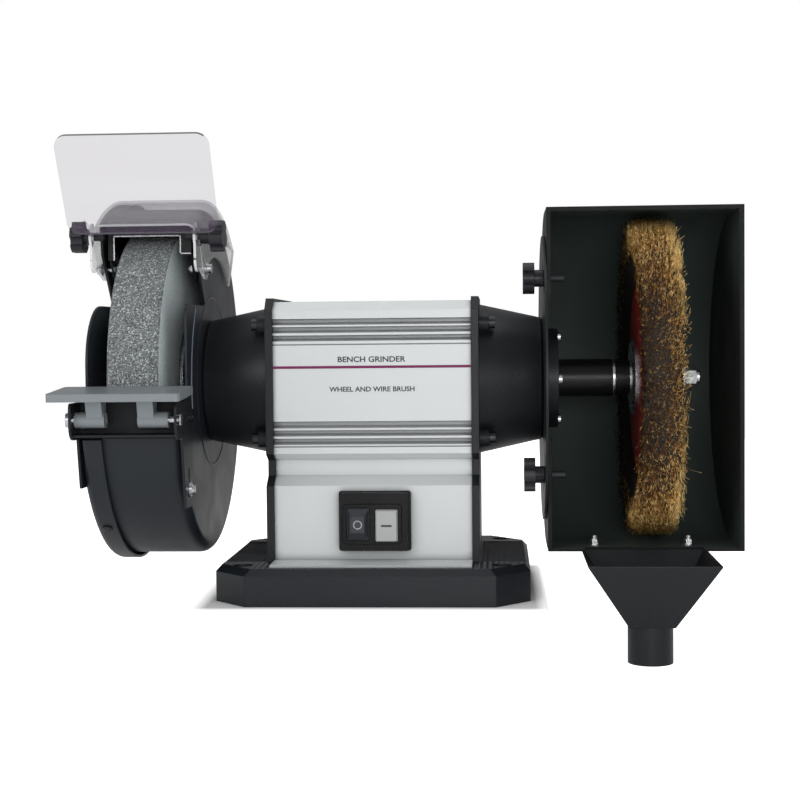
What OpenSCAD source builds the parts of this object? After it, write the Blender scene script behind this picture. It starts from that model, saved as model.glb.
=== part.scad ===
// Double-ended workshop bench grinder.
// A grinding wheel in a steel guard is on the left, and a wire brush in an open box guard
// with a dust chute is on the right. The origin is the centre of the base underside,
// +X points to the brush, -Y to the operator and +Z up. Lengths are in millimetres.

/* [Spindle] */
// Height of the spindle axis above the base underside
axis_h = 173; // [172:0.5:178]
// Radius of the spindle in the motor
spindle_core_r = 14; // [13:0.5:16]

/* [Base] */
// Length of the base along the spindle
base_x = 249; // [244:1:260]
// Depth of the base
base_y = 216; // [212:1:230]
// Height of the base
base_h = 29; // [28:0.5:32]
// Spacing of the bolt holes along the spindle
bolt_dx = 204; // [200:1:206]
// Spacing of the bolt holes across the spindle
bolt_dy = 164; // [158:1:168]
// Radius of a bolt hole
bolt_r = 5.5; // [4.5:0.25:6]

/* [Motor] */
// Half length of the motor housing
body_x = 79; // [78:0.5:80]
// Half depth of the motor housing
body_y = 64; // [63:0.5:66]
// Thickness of an end plate
plate_t = 6; // [5:0.5:7]
// Radius of the stator bore in the housing
bore_r = 59.5; // [58:0.25:60]
// Air gap between rotor and stator
air_gap = 0.5; // [0.4:0.1:1]

/* [Wheel] */
// Radius of the grinding wheel
wheel_r = 125; // [110:1:126]
// Width of the grinding wheel
wheel_w = 40; // [32:1:40]

/* [Brush] */
// Radius of the wire brush over its wires
brush_r = 128; // [115:1:131]
// Width of the brush over its wires
brush_w = 37; // [30:1:40]

/* [Wheel guard] */
// Outer radius of the guard drum
guard_r = 143; // [143:0.5:146]
// Sheet thickness of the guard
guard_t = 2; // [1.5:0.25:2.5]

/* [Box guard] */
// Outer radius of the rounded rear of the box
box_r = 136.5; // [136:0.5:140]
// Distance from the spindle axis to the open front of the box
box_front = 60; // [50:1:70]
// Position of the outer face of the right box wall
box_x1 = 293.5; // [285:0.5:300]

/* [Tool rest] */
// Length of the rest plate along the spindle
rest_l = 99; // [84:1:100]
// Depth of the rest plate
rest_d = 55; // [44:1:56]
// Downward slope of the rest plate towards the operator, in degrees
rest_tilt = 4; // [3:0.5:6]

/* [Eye shield] */
// Width of the shield pane
pane_w = 118; // [100:1:120]
// Height of the shield pane
pane_h = 83; // [70:1:90]
// Forward lean of the pane from the vertical, in degrees
pane_lean = 31; // [20:1:35]

/* [Hidden] */
$fn = 96;
CUT = 1;                 // how far a cutting shape runs past a face
CUT_FAR = 400;           // size of a shape that cuts away everything beyond a plane

// Colours
C_CAST = "#3a4046";
C_BLACK = "#1c1e20";
C_BODY = "#d9dcdb";
C_STEEL = "#b9bcc0";
C_REST = "#8f9296";
C_GRIT = "#7f8a87";
C_BRASS = "#b08d3c";
C_RED = "#8c1f24";
C_COPPER = "#a45a2a";
C_CLEAR = [0.86, 0.86, 0.9, 0.35];

// Base
side_h = base_h - 5;     // height of the vertical sides, below the bevel
base_bevel = 4.5;        // horizontal run of the bevel
corner_x = 27;           // corner cut along X
corner_y = 30;           // corner cut along Y
land_y = 63;             // half distance between the two smooth lands
tread_depth = 1.5;
tread_pitch = 7;
foot_t = 2;              // thickness of the housing foot on the base
foot_y = 97;             // half depth of the housing foot
foot_screw = [60, 82];

// Motor housing profile, seen along the spindle
top_z = axis_h + 64;
chamfer_y = 9;
chamfer_z = 7;
neck_y = 52;             // half depth at the neck
ped_y = 64;              // half depth of the pedestal
rim_z = axis_h - 57.4;   // lower edge of the ribbed part
neck_top = axis_h - 63;
neck_bottom = axis_h - 75.4;
ped_top = axis_h - 83;
wall = 3;
groove_depth = 5;
upper_grooves = [[45.3, 50.2], [39, 43.8], [32.5, 37]];
lower_grooves = [[-36.9, -31.6], [-43.3, -38.6], [-50, -45.2]];
panel_lines = [29.2, -52.2];
plate_proud = 3;         // how far the end plates stand out past the housing
plate_x = body_x + plate_t;

// End bells and bearings
bell_r0 = 61.5;
bell_r1 = 50;
bell_left_x = 139;
bell_right_x = 136.5;
bell_wall = 4;
bell_screw = [48, 46];
bell_ear_t = 8;
small_screw_pcr = 34;    // pitch radius of the screws that fix a guard to a bell
small_screw_r = 2.6;
small_screw_l = 6;       // how far they reach into the bell
bearing_ro = 26;
bearing_ri = 12.5;
bearing_w = 15;
bearing_x = 112;
ball_r = 3.9;
ball_pitch_r = 19.5;
ball_count = 9;
seat_gap = 0.05;
stator_l = 64;
stator_ri = 36;

// Wheel side
wheel_x0 = -198.5;       // outer face of the grinding wheel
wheel_x1 = wheel_x0 + wheel_w;
blotter_t = 0.5;
arbor_r = 10;
flange_r = 45;
thread_r_left = 10;
spindle_left = -213.5;
spindle_right = 266.3;

// Guard
guard_x0 = -211;         // open edge of the drum, under the cover
guard_x1 = -139;         // face against the end bell
guard_round = 9;
cover_r = guard_r + 4.5;
cover_x0 = -216.5;
cover_x1 = -199;
cover_t = 2;
cover_round = 6;
band_low = -16;          // angle of the lower end of the drum band, in degrees
band_high = 64.5;        // angle of the upper end of the drum band
cheek_right_y = 109;     // distance from the axis to the front edge of the right side wall
cheek_left_y = 118;      // the same for the cover
cheek_z = 62;            // height above the axis where the side walls are cut back
hood_screw = [46, 92];    // hood screws: distances in front of and above the axis
notch_y = 125;           // the side walls end here beside the rest bracket
leg_relief = 24;         // extra depth of the notch behind the bracket's left leg
notch_z = 38.2;          // depth of that notch below the axis

// Hood and deflector
hood_r = cover_r + 1.5;
hood_t = 2;
hood_x0 = -219.5;
hood_x1 = -134.5;
hood_low = 56.5;         // angle of the front edge, in degrees
hood_high = 128;         // angle of the rear edge
hood_cheek_r = 103;
hood_corner = 10;
ear_inset = 0.3;         // how far the ears lie inside the outer faces
knob_y = -80;
knob_z = axis_h + 116;
lug_t = 1.8;
deflector_x0 = -209;
deflector_x1 = -142;
deflector_y = -70;
deflector_t = 1.5;
notch_x0 = -204.6;
notch_x1 = -150.5;
pane_off = 11.3;         // distance of the pane in front of the knob axis
pane_low = 10;           // distance of its lower edge above the knob axis
pane_t = 3;
pane_x = -174;
gap = 0.2;
cover_screw_a = [-50, 154, 214];

// Rest
rest_pivot = [-150, axis_h - 25];
rest_t = 6;
rest_low = 17;           // height of the plate's underside above the pivot
rest_x0 = -229.7;
rest_back = 23.4;        // distance of the plate's rear edge behind the pivot
cheek_h = 13;
cheek_front = -162;
cheek_rear = -103;
rest_travel = 8;
barrel_r = 6;
bracket_left = cover_x0;
bracket_t = 2;
bracket_screw_y = [-108, -118];
web_y = -133;            // front face of the web behind the barrels
strip_z = rest_pivot[1] - cheek_h + 0.2;
leg_right_z = axis_h - 94;
leg_left_z = axis_h - 78;
dome_screw = [-116, axis_h - 80];

// Box guard
box_x0 = 139;
box_t = 2;
disc_r = 117;
disc_t = 1.9;
disc_x = bell_right_x;
collar_r = 41;
collar_l = 10.5;
box_knob_y = 55;
box_knob_z = [80.5, -75.5];
box_slot_w = 46.5;       // radius of the slot that lets the box pass over the collar
hem_w = 4;
hem_t = 1.5;
chute_x0 = 166;
chute_x1 = 265;
chute_y0 = -143;
chute_y1 = -45;
chute_t = 1.5;
spout_r = 17.6;
spout_c = [216.5, -90];
chute_flange = 24;       // depth of the rear flange under the box floor
spout_top = -16;
spout_bottom = -45.5;
chute_bolt_x = [177, 252];
chute_bolt_y = -36;

// Brush side
tube_r = 15.4;
tube_x1 = 194;
seat_r_right = 9;
brush_x = 224.7;         // middle of the brush
hub_r = 76;
hub_w = 21;
brush_flange_r = 30.5;
lock_ring_x1 = 196;
collar_x1 = 208;
nut_x0 = 253;

// Switch
sw_x = 1.6;
sw_z = 62.2;
sw_w = 57.5;
sw_h = 47.6;
sw_depth = 10.5;
off_c = [-11.2, 60.3];
on_c = [11.4, 59.3];

// ---- helpers -------------------------------------------------------------

// Extrudes a profile drawn in (Y, Z) from x0 to x1
module yz(x0, x1) {
  translate([x0, 0, 0]) rotate([90, 0, 90]) linear_extrude(x1 - x0) children();
}

// Turns a profile drawn in (radius, X) about the spindle axis
module lathe() {
  translate([0, 0, axis_h]) rotate([0, 90, 0]) rotate_extrude() children();
}

// A round bar along X through (y, z)
module bar(x0, x1, r, y = 0, z = axis_h) {
  translate([x0, y, z]) rotate([0, 90, 0]) cylinder(r = r, h = x1 - x0);
}

// A ring along X on the spindle axis
module ring(x0, x1, r_out, r_in) {
  difference() {
    bar(x0, x1, r_out);
    bar(x0 - CUT, x1 + CUT, r_in);
  }
}

// The four holes that fix a guard to the small end of an end bell
module guard_holes(x0, x1, r, turn) {
  for (i = [0:3]) let (a = 90 * i + turn)
    bar(x0, x1, r, small_screw_pcr * cos(a), axis_h + small_screw_pcr * sin(a));
}

// A hexagon along X through (y, z), measured across its flats
module hex_bar(x0, x1, flats, y = 0, z = axis_h) {
  translate([x0, y, z]) rotate([0, 90, 0]) cylinder(r = flats / sqrt(3), h = x1 - x0, $fn = 6);
}

// A rectangle with rounded corners, centred on the origin
module round_rect(w, h, r) {
  square([w - 2 * r, h], center = true);
  square([w, h - 2 * r], center = true);
  for (sx = [-1, 1], sy = [-1, 1])
    translate([sx * (w / 2 - r), sy * (h / 2 - r)]) circle(r);
}

// A slot with round ends between two points of a profile
module slot2d(a, b, r) {
  d = b - a;
  translate(a) circle(r);
  translate(b) circle(r);
  translate(a) rotate(atan2(d[1], d[0])) translate([0, -r]) square([norm(d), 2 * r]);
}

// A straight strip between two points of a profile
module link2d(a, b, w) {
  d = b - a;
  translate(a) rotate(atan2(d[1], d[0])) translate([0, -w / 2]) square([norm(d), w]);
}

// Points of an arc
function arc(c, r, a0, a1, n = 16) =
  [for (i = [0:n]) let (a = a0 + (a1 - a0) * i / n) [c[0] + r * cos(a), c[1] + r * sin(a)]];

// Points of a sector that reaches past everything, seen in (Y, Z) from the spindle axis.
// The angle is 0 at the front and 90 at the top.
function sector(a0, a1, n = 12) = concat(
  [[0, axis_h]],
  [for (i = [0:n]) let (a = a0 + (a1 - a0) * i / n)
    [-CUT_FAR * cos(a), axis_h + CUT_FAR * sin(a)]]);

// A cap screw along X whose head sits on the plane x, on the side given by dir
module cap_screw(x, y, z, dir, head_r, head_l, shank_r, shank_l) {
  translate([x, y, z]) rotate([0, 90 * dir, 0]) difference() {
    union() {
      cylinder(r = head_r, h = head_l);
      translate([0, 0, -shank_l]) cylinder(r = shank_r, h = shank_l + 0.5);
    }
    translate([0, 0, head_l * 0.4]) cylinder(r = head_r * 0.55, h = head_l, $fn = 6);
  }
}

// A star knob whose stem starts at x and whose head points along dir
module star_knob(x, y, z, dir, stem_l, head_l, head_r, stud_r, stud_l, lobes = 5, turn = 0) {
  valley_r = head_r * (lobes == 4 ? 0.44 : 0.34);
  valley_c = head_r * (lobes == 4 ? 1.02 : 1.12);
  translate([x, y, z]) rotate([0, 90 * dir, 0]) {
    cylinder(r = head_r * 0.5, h = stem_l + 1);
    translate([0, 0, stem_l]) difference() {
      cylinder(r = head_r, h = head_l);
      for (i = [0:lobes - 1])
        rotate(360 / lobes * (i + 0.5) + turn) translate([valley_c, 0, -CUT])
          cylinder(r = valley_r, h = head_l + 2 * CUT);
    }
    translate([0, 0, -stud_l]) cylinder(r = stud_r, h = stud_l + 1);
  }
}

// ---- base ----------------------------------------------------------------

module octagon(x, y, cx, cy) {
  polygon([[-x / 2 + cx, -y / 2], [x / 2 - cx, -y / 2], [x / 2, -y / 2 + cy], [x / 2, y / 2 - cy],
           [x / 2 - cx, y / 2], [-x / 2 + cx, y / 2], [-x / 2, y / 2 - cy], [-x / 2, -y / 2 + cy]]);
}

module base() {
  tread_x = plate_x + 1;
  pocket_z = base_h - 7;
  color(C_CAST) difference() {
    union() {
      linear_extrude(side_h) octagon(base_x, base_y, corner_x, corner_y);
      hull() {
        translate([0, 0, side_h - 0.5]) linear_extrude(0.5)
          octagon(base_x, base_y, corner_x, corner_y);
        translate([0, 0, base_h - 0.5]) linear_extrude(0.5)
          octagon(base_x - 2 * base_bevel, base_y - 2 * base_bevel, corner_x, corner_y);
      }
    }
    for (sx = [-1, 1]) {
      // recessed tread beside the motor, with raised lines between its grooves
      for (i = [0:17])
        translate([sx > 0 ? tread_x : -tread_x - 60, -land_y + i * tread_pitch, base_h - tread_depth])
          cube([60, tread_pitch - 1.6, tread_depth + CUT]);
      translate([sx > 0 ? tread_x : -tread_x - 60, -land_y, base_h - 0.6])
        cube([60, 2 * land_y, 0.6 + CUT]);
      // bolt holes with spot faces
      for (sy = [-1, 1]) translate([sx * bolt_dx / 2, sy * bolt_dy / 2, 0]) {
        translate([0, 0, -CUT]) cylinder(r = bolt_r, h = base_h + 2 * CUT);
        translate([0, 0, base_h - 4]) cylinder(r = 8, h = 4 + CUT);
      }
      // holes of the foot screws
      for (sy = [-1, 1]) translate([sx * foot_screw[0], sy * foot_screw[1], -CUT])
        cylinder(r = 3.2, h = base_h + 2 * CUT);
    }
    // hollow underside and wire hole
    translate([-86, -94, -CUT]) cube([172, 188, pocket_z + CUT]);
    translate([0, 0, -CUT]) cylinder(r = 20, h = base_h + 2 * CUT);
  }
}

module foot_screws() {
  head_z = base_h - 7;
  color(C_STEEL) for (sx = [-1, 1], sy = [-1, 1])
    translate([sx * foot_screw[0], sy * foot_screw[1], head_z - 5]) difference() {
      union() {
        cylinder(r = 5, h = 5);
        cylinder(r = 3, h = 5 + 7 + foot_t / 2);
      }
      translate([0, 0, -CUT]) cylinder(r = 2.9, h = 3.5, $fn = 6);
    }
}

// ---- motor housing -------------------------------------------------------

// Outline of the front half in (Y, Z), from the top down, grown outwards by g
function front_outline(g) = [
  [-body_y - g + chamfer_y, top_z + g],
  [-body_y - g, top_z + g - chamfer_z - g],
  [-body_y - g, rim_z],
  [-neck_y - g, neck_top],
  [-neck_y - g, neck_bottom],
  [-ped_y - g, ped_top],
  [-ped_y - g, base_h]
];
function back_outline(g) = [for (i = [6:-1:0]) let (p = front_outline(g)[i]) [-p[0], p[1]]];

module body_outline(g = 0) {
  polygon(concat(front_outline(g), back_outline(g)));
}

// One cooling groove on the front face, cut between two heights above the axis
module groove(z0, z1) {
  polygon([[-body_y - CUT, axis_h + z0], [-body_y + 2, axis_h + z0],
           [-body_y + groove_depth, axis_h + z0 + 2], [-body_y + groove_depth, axis_h + z1 - 0.6],
           [-body_y + groove_depth - 1, axis_h + z1], [-body_y - CUT, axis_h + z1]]);
}

module housing_profile() {
  difference() {
    union() {
      body_outline();
      translate([-foot_y, base_h]) square([2 * foot_y, foot_t]);
    }
    for (s = [0, 1]) mirror([s, 0]) {
      for (g = concat(upper_grooves, lower_grooves)) groove(g[0], g[1]);
      for (z = panel_lines) translate([-body_y - CUT, axis_h + z]) square([CUT + 1, 0.9]);
    }
    translate([0, axis_h]) circle(bore_r);
    // pedestal space and the passage up to the motor
    translate([-ped_y + wall, base_h - CUT]) square([2 * (ped_y - wall), ped_top - base_h - 1]);
    translate([-20, base_h]) square([40, axis_h - 50 - base_h]);
  }
}

module motor_housing() {
  color(C_BODY) difference() {
    yz(-body_x, body_x) housing_profile();
    // switch cut-out
    translate([sw_x - 23, -ped_y - CUT, sw_z - 17]) cube([46, wall + 2 * CUT, 34]);
    // gland hole at the rear
    translate([-40, ped_y - wall - CUT, 60]) rotate([-90, 0, 0]) cylinder(r = 10.2, h = wall + 2 * CUT);
    for (sx = [-1, 1], sy = [-1, 1]) translate([sx * foot_screw[0], sy * foot_screw[1], base_h - CUT])
      cylinder(r = 3, h = foot_t / 2 + CUT);
  }
}

module end_plate(side) {
  x0 = side > 0 ? body_x : -plate_x;
  color(C_CAST) difference() {
    yz(x0, x0 + plate_t) body_outline(plate_proud);
    bar(x0 - CUT, x0 + plate_t + CUT, 52);
    for (sy = [-1, 1], sz = [-1, 1])
      bar(x0 - CUT, x0 + plate_t + CUT, 3, sy * bell_screw[0], axis_h + sz * bell_screw[1]);
  }
}
module end_plate_left() { end_plate(-1); }
module end_plate_right() { end_plate(1); }

// ---- end bells and bearings ------------------------------------------------

// Solid of revolution between the end plate and the small end, for the +X side
function bell_points(x_end) = [
  [54, plate_x], [bell_r0, plate_x],
  [bell_r0 - 0.6, plate_x + 3],
  [bell_r1 + 0.7, x_end - 3],
  each arc([bell_r1 - 2.3, x_end - 3], 3, 0, 90, 8),
  [tube_r + 3, x_end],
  [tube_r + 3, bearing_x + bearing_w + 4],
  [bearing_ro - 4, bearing_x + bearing_w + 4],
  [bearing_ro - 4, bearing_x + bearing_w + 1.5],
  [bearing_ro + seat_gap, bearing_x + bearing_w + 1.5],
  [bearing_ro + seat_gap, bearing_x - 2],
  [bearing_ro + 5, bearing_x - 2],
  [bearing_ro + 5, x_end - bell_wall - 3],
  [bell_r1 - bell_wall - 2, x_end - bell_wall - 3],
  [bell_r0 - bell_wall - 2, plate_x + 6],
  [54, plate_x + 3]
];

module end_bell(side, x_end, hole_turn) {
  color(C_CAST) mirror([side > 0 ? 0 : 1, 0, 0]) difference() {
    union() {
      lathe() polygon(bell_points(x_end));
      for (sy = [-1, 1], sz = [-1, 1]) difference() {
        bar(plate_x, plate_x + bell_ear_t, 7.5, sy * bell_screw[0], axis_h + sz * bell_screw[1]);
        bar(plate_x - CUT, plate_x + bell_ear_t + CUT, 57.5);
      }
    }
    for (sy = [-1, 1], sz = [-1, 1])
      bar(plate_x - CUT, plate_x + bell_ear_t + CUT, 3, sy * bell_screw[0],
          axis_h + sz * bell_screw[1]);
    guard_holes(x_end - small_screw_l, x_end + CUT, small_screw_r, hole_turn);
  }
}
module end_bell_left() { end_bell(-1, bell_left_x, 45); }
module end_bell_right() { end_bell(1, bell_right_x, 0); }

module end_bell_screws() {
  x = plate_x + bell_ear_t;
  color(C_STEEL) for (sx = [-1, 1], sy = [-1, 1], sz = [-1, 1])
    cap_screw(sx * x, sy * bell_screw[0], axis_h + sz * bell_screw[1], sx, 4.8, 5, 2.9,
              bell_ear_t + plate_t);
}

module bearing_outer(x) {
  color(C_STEEL) difference() {
    ring(x, x + bearing_w, bearing_ro, ball_pitch_r + 3);
    lathe() translate([ball_pitch_r, x + bearing_w / 2]) circle(ball_r + 0.2);
  }
}
module bearing_inner(x) {
  color(C_STEEL) {
    difference() {
      ring(x, x + bearing_w, ball_pitch_r - 3, bearing_ri);
      lathe() translate([ball_pitch_r, x + bearing_w / 2]) circle(ball_r + 0.05);
    }
    for (i = [0:ball_count - 1]) let (a = 360 / ball_count * i)
      translate([x + bearing_w / 2, ball_pitch_r * cos(a), axis_h + ball_pitch_r * sin(a)])
        sphere(ball_r);
  }
}
module bearing_outer_left() { bearing_outer(-bearing_x - bearing_w); }
module bearing_outer_right() { bearing_outer(bearing_x); }
module bearing_inner_left() { bearing_inner(-bearing_x - bearing_w); }
module bearing_inner_right() { bearing_inner(bearing_x); }

module wave_washer() {
  color(C_STEEL) ring(bearing_x + bearing_w + 0.4, bearing_x + bearing_w + 1.2, bearing_ro - 0.3, 22.8);
}

// ---- motor internals -------------------------------------------------------

module stator_core() {
  color(C_STEEL) difference() {
    ring(-stator_l / 2, stator_l / 2, bore_r, stator_ri);
    // winding slots round the bore
    for (i = [0:23]) translate([0, 0, axis_h]) rotate([15 * i, 0, 0])
      translate([-stator_l / 2 - CUT, -1.6, stator_ri + 2]) cube([stator_l + 2 * CUT, 3.2, 12]);
  }
}

module stator_windings() {
  inner = stator_l / 2 + 0.5;
  color(C_COPPER) for (s = [0, 1]) mirror([s, 0, 0]) lathe()
    polygon([[39, inner], [54, inner], [54, inner + 12], each arc([50, inner + 12], 4, 0, 90, 6),
             each arc([43, inner + 12], 4, 90, 180, 6)]);
}

module rotor_core() {
  r = stator_ri - air_gap;
  end_l = 6;
  color(C_STEEL) difference() {
    union() {
      ring(-stator_l / 2, stator_l / 2, r, spindle_core_r);
      ring(-stator_l / 2 - end_l, stator_l / 2 + end_l, r - 2, spindle_core_r + 8);
    }
  }
}

// Steps of the spindle as [radius, end X], from left to right
spindle_steps = [
  [thread_r_left, -152], [12, -bearing_x - bearing_w], [bearing_ri, -bearing_x],
  [spindle_core_r, bearing_x], [bearing_ri, bearing_x + bearing_w],
  [seat_r_right, 250], [6, spindle_right]
];

module spindle() {
  n = len(spindle_steps);
  color(C_STEEL) lathe() polygon(concat(
    [[0, spindle_left], [thread_r_left - 1, spindle_left], [thread_r_left, spindle_left + 1]],
    [for (i = [0:n - 2]) each [[spindle_steps[i][0], spindle_steps[i][1]],
                               [spindle_steps[i + 1][0], spindle_steps[i][1]]]],
    [[6, spindle_right - 1], [5, spindle_right], [0, spindle_right]]));
}

module capacitor() {
  color("#30343a") {
    bar(-30, 40, 17, 30, 55);
    for (s = [-1, 1]) bar(40, 46, 2, 30 + 6 * s, 55);
  }
}

module capacitor_clip() {
  color(C_STEEL) difference() {
    union() {
      bar(-2, 10, 18.5, 30, 55);
      translate([-2, 30, base_h + 7]) cube([12, ped_y - wall - 30, 2]);
    }
    bar(-2 - CUT, 10 + CUT, 17, 30, 55);
    translate([-2 - CUT, 30 - 4, base_h]) cube([12 + 2 * CUT, 8, 9.2]);
  }
}

module terminal_block() {
  color("#e8e2d0") difference() {
    translate([-65, -20, base_h]) cube([16, 44, 18]);
    for (i = [0:3]) translate([-57, -14.5 + 11 * i, base_h + 9]) cylinder(r = 3, h = 10);
  }
}

module cable_gland() {
  y = ped_y;
  color(C_BLACK) translate([-40, y, 60]) rotate([-90, 0, 0]) difference() {
    union() {
      translate([0, 0, -wall - 8]) cylinder(r = 10, h = wall + 9);
      cylinder(r = 12 / cos(30), h = 6, $fn = 6);
      translate([0, 0, 6]) cylinder(r = 11.5, h = 9);
      translate([0, 0, 15]) cylinder(r1 = 11.5, r2 = 7, h = 5);
      translate([0, 0, -wall - 6]) cylinder(r = 13 / cos(30), h = 6, $fn = 6);
    }
    translate([0, 0, -wall - 10]) cylinder(r = 4.5, h = 40);
  }
}

// ---- switch ----------------------------------------------------------------

// A block drawn on the front of the pedestal, from depth y0 to y1 in front of it
module on_front(x, z, y0, y1) {
  translate([x, -ped_y - y0, z]) rotate([90, 0, 0]) linear_extrude(y1 - y0) children();
}

module switch_housing() {
  color(C_BLACK) difference() {
    union() {
      on_front(sw_x, sw_z, 0, 2.5) round_rect(sw_w, sw_h, 2);
      on_front(sw_x - 0.6, sw_z, 2, sw_depth) round_rect(sw_w - 3, sw_h - 1.6, 2);
      on_front(sw_x, sw_z, -30, 0.5) square([44, 32], center = true);
    }
    on_front(sw_x - 1.7, 60.4, sw_depth - 5, sw_depth + CUT) round_rect(47, 32, 4);
    on_front(off_c[0], off_c[1], -8, sw_depth) square([18.6, 26], center = true);
    on_front(on_c[0], on_c[1], -8, sw_depth) square([18.2, 26], center = true);
  }
}

module switch_bezel() {
  color(C_BLACK) difference() {
    on_front(sw_x - 1.7, 60.4, sw_depth - 5, sw_depth + 0.8) round_rect(46.6, 31.6, 4);
    on_front(off_c[0], off_c[1], 0, sw_depth + 2) round_rect(18.8, 26.4, 1.5);
    on_front(on_c[0], on_c[1], 0, sw_depth + 2) round_rect(18.4, 26.2, 1.5);
  }
}

// A push button whose raised front narrows by the given factors
module push_button(c, w, h, front, narrowing) {
  translate([c[0], -ped_y - 1, c[1]]) rotate([90, 0, 0]) {
    linear_extrude(sw_depth + 0.5 - 1) round_rect(w, h, 1.2);
    hull() {
      translate([0.5 - w / 2, 0.5 - h / 2, sw_depth - 0.6]) cube([w - 1, h - 1, 0.1]);
      translate([0, 0, sw_depth + front - 0.7])
        cube([(w - 1) * narrowing[0], (h - 1) * narrowing[1], 0.2], center = true);
    }
  }
}
module off_button() { color("#2a2f36") push_button(off_c, 18, 25.6, 4.5, [0.6, 0.52]); }
module on_button() { color("#c9cccd") push_button(on_c, 17.6, 25.4, 2.5, [0.96, 0.97]); }

// ---- wheel guard -------------------------------------------------------------

// Area in (Y, Z) that is open at the front of both side walls
module front_opening(cheek_y, corner) {
  a = axis_h;
  // above the cheeks, back to the slanted edge
  polygon([[-CUT_FAR, a + cheek_z], [-29, a + cheek_z], [-63, a + 103], [-68, a + 140],
           [-68, a + CUT_FAR], [-CUT_FAR, a + CUT_FAR]]);
  // beside the rest bracket
  translate([-CUT_FAR, a - notch_z]) square([CUT_FAR - notch_y, notch_z - 8 + CUT]);
  // in front of the cheeks, with a rounded upper corner
  difference() {
    translate([-CUT_FAR, a - 8]) square([CUT_FAR - cheek_y + corner, cheek_z + 8 + CUT]);
    translate([-cheek_y, a - 8 - CUT]) square([2 * corner, cheek_z + 8 + CUT - corner]);
    translate([-cheek_y + corner, a + cheek_z - corner]) circle(corner);
    translate([-cheek_y + corner, a - 8 - CUT]) square([corner + CUT, cheek_z + 8 + CUT]);
  }
}

// Drum profile in (radius, X): a band and a side wall joined by a rounded corner
function drum_points(r, x_band, x_wall, t, corner, hole, dir) = [
  [r, x_band],
  each arc([r - corner, x_wall - dir * corner], corner, 0, 90 * dir, 8),
  [hole, x_wall],
  [hole, x_wall - dir * t],
  each arc([r - corner, x_wall - dir * corner], corner - t, 90 * dir, 0, 8),
  [r - t, x_band]
];

module guard_shell() {
  color(C_CAST) difference() {
    lathe() polygon(drum_points(guard_r, guard_x0, guard_x1, guard_t, guard_round, 20, 1));
    // mouth of the band
    yz(guard_x0 - CUT, guard_x1 - guard_t) polygon(sector(band_low, band_high));
    // mouth of the side wall
    yz(guard_x1 - guard_t - CUT, guard_x1 + CUT) front_opening(cheek_right_y, 8);
    // fixing holes
    guard_holes(guard_x1 - 10, guard_x1 + CUT, small_screw_r + 0.1, 45);
    bar(guard_x1 - 10, guard_x1 + CUT, 2.6, -hood_screw[0], axis_h + hood_screw[1]);
    for (y = bracket_screw_y) bar(guard_x1 - 10, guard_x1 + CUT, 2.6, y, rest_pivot[1]);
    // cover screws in the band edge
    for (a = cover_screw_a) at_band(a) cylinder(r = 2, h = guard_r + CUT);
  }
}

module guard_cover() {
  color(C_CAST) difference() {
    lathe() polygon(drum_points(cover_r, cover_x1, cover_x0, cover_t, cover_round, 0, -1));
    yz(cover_x0 - CUT, cover_x1 + CUT) front_opening(cheek_left_y, 48);
    // relief behind the left leg of the rest bracket
    yz(cover_x0 - CUT, cover_x0 + cover_t + CUT)
      translate([-CUT_FAR, axis_h - notch_z - leg_relief])
        square([CUT_FAR - notch_y, leg_relief + CUT]);
    yz(cover_x0 + cover_t, cover_x1 + CUT) polygon(sector(band_low, band_high));
    bar(cover_x0 - CUT, cover_x0 + cover_t + CUT, 2.6, -hood_screw[0], axis_h + hood_screw[1]);
    for (y = bracket_screw_y) bar(cover_x0 - CUT, cover_x0 + cover_t + CUT, 2.6, y, rest_pivot[1]);
    for (a = cover_screw_a) at_band(a) cylinder(r = 2.2, h = cover_r + 10);
  }
}

// Radial screws that hold the cover on the drum
module cover_screws() {
  head_z = cover_r + 0.1;
  color(C_BLACK) for (a = cover_screw_a) at_band(a) {
    translate([0, 0, guard_r - 4]) cylinder(r = 1.9, h = head_z + 4.5 - guard_r);
    translate([0, 0, head_z]) cylinder(r = 4, h = 1.1);
    translate([0, 0, head_z + 1]) cylinder(r1 = 3.4, r2 = 2, h = 1.4);
  }
}

// Puts +Z on a radius of the drum band at an angle from the front, upwards
module at_band(a) {
  translate([guard_x0 + 4, 0, axis_h]) rotate([90 - a, 0, 0]) children();
}

// Screws that hold the guard on the end bell, and the dome screw of the bracket's right leg
module guard_screws() {
  color(C_STEEL) {
    for (i = [0:3]) let (a = 45 + 90 * i)
      cap_screw(guard_x1 - guard_t, small_screw_pcr * cos(a), axis_h + small_screw_pcr * sin(a), -1,
                4.5, 3.5, small_screw_r, guard_t + small_screw_l - 0.5);
    translate([guard_x1 + bracket_t, dome_screw[0], dome_screw[1]]) rotate([0, 90, 0]) {
      cylinder(r = 6, h = 1.2);
      translate([0, 0, 1.1]) cylinder(r = 4.8, h = 1.2);
      translate([0, 0, 2.2]) cylinder(r1 = 4.8, r2 = 3.2, h = 2);
      translate([0, 0, -bracket_t + 0.1]) cylinder(r = 2.4, h = bracket_t + 1);
    }
  }
}

// ---- wheel and its clamping ---------------------------------------------------

module grinding_wheel() {
  color(C_GRIT) lathe() polygon([
    [arbor_r, wheel_x0], [wheel_r - 1.5, wheel_x0], [wheel_r, wheel_x0 + 1.5],
    [wheel_r, wheel_x1 - 1.5], [wheel_r - 1.5, wheel_x1], [arbor_r, wheel_x1]]);
}

module wheel_blotters() {
  color("#c9b48a") {
    ring(wheel_x0 - blotter_t, wheel_x0, flange_r + 3, arbor_r);
    ring(wheel_x1, wheel_x1 + blotter_t, flange_r + 3, arbor_r);
  }
}

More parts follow.
